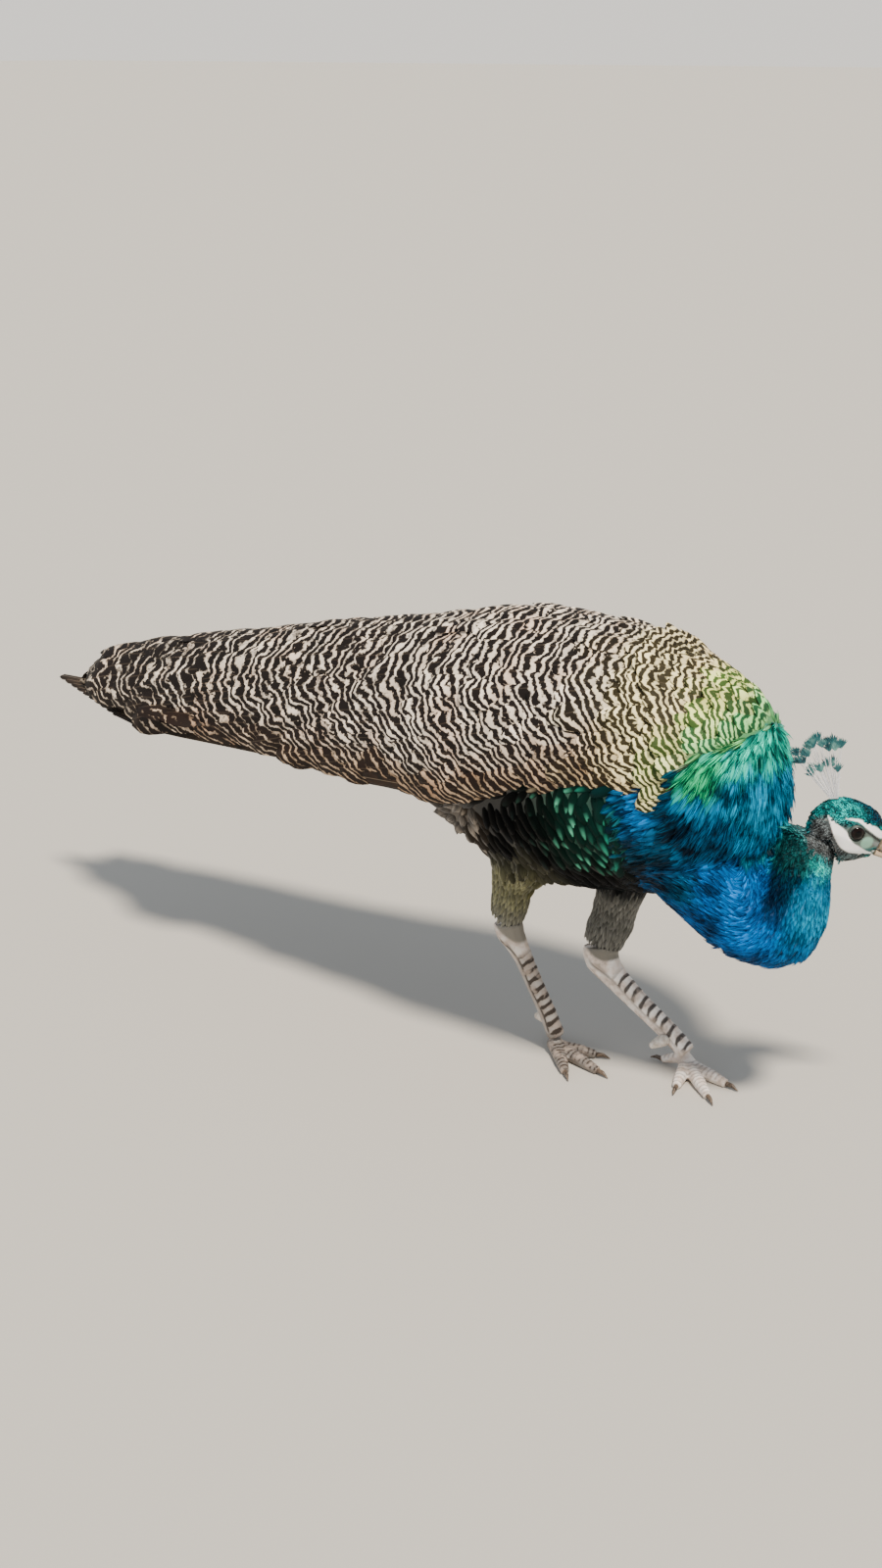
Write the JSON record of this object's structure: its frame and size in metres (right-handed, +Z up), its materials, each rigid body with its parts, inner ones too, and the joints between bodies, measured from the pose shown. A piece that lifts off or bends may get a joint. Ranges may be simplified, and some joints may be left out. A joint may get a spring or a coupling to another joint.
{
  "type": "indian peafowl, young male (peacock without a train)",
  "caption": "Young peacock walking with its head low, neck folded, one leg forward, barred back and folded tail, as a still life-size model.",
  "frame": {"origin": "centre of the bounding box in plan, on the floor under the soles", "axes": "+X the way the bird walks, +Y the bird's left, +Z up"},
  "size_m": [0.9622, 0.222, 0.439],
  "materials": {
    "bill_horn": "smooth horn, pale grey brown",
    "eye": "glossy dark brown",
    "claw_horn": "smooth horn",
    "leg_scales": "scutes, pinkish grey with dark bars",
    "thigh_feathers": "short soft feathers, buff",
    "barred_feathers": "black and cream wavy bars",
    "flight_feathers": "rufous vanes",
    "tail_quills": "dark brown vanes",
    "body_feathers": "dark green to blue, glossy",
    "head_feathers": "short glossy scale feathers, teal",
    "neck_feathers": "glossy blue"
  },
  "bodies": {
    "root": {"bill_lower": "bill_horn", "bill_upper": "bill_horn", "claw_left_hind": "claw_horn", "claw_left_inner": "claw_horn", "claw_left_middle": "claw_horn", "claw_left_outer": "claw_horn", "claw_right_hind": "claw_horn", "claw_right_inner": "claw_horn", "claw_right_middle": "claw_horn", "claw_right_outer": "claw_horn", "crest": "head_feathers", "eye_left": "eye", "eye_right": "eye", "foot_left": "leg_scales", "foot_right": "leg_scales", "head": "head_feathers", "neck_base": "neck_feathers", "neck_bend": "neck_feathers", "neck_upper": "neck_feathers", "primaries_left": "flight_feathers", "primaries_right": "flight_feathers", "shank_left": "leg_scales", "shank_right": "leg_scales", "spur_left": "claw_horn", "spur_right": "claw_horn", "tail_coverts": "barred_feathers", "tail_feathers": "tail_quills", "thigh_left": "thigh_feathers", "thigh_right": "thigh_feathers", "trunk": "body_feathers", "wing_left": "barred_feathers", "wing_right": "barred_feathers"}
  },
  "joints": []
}
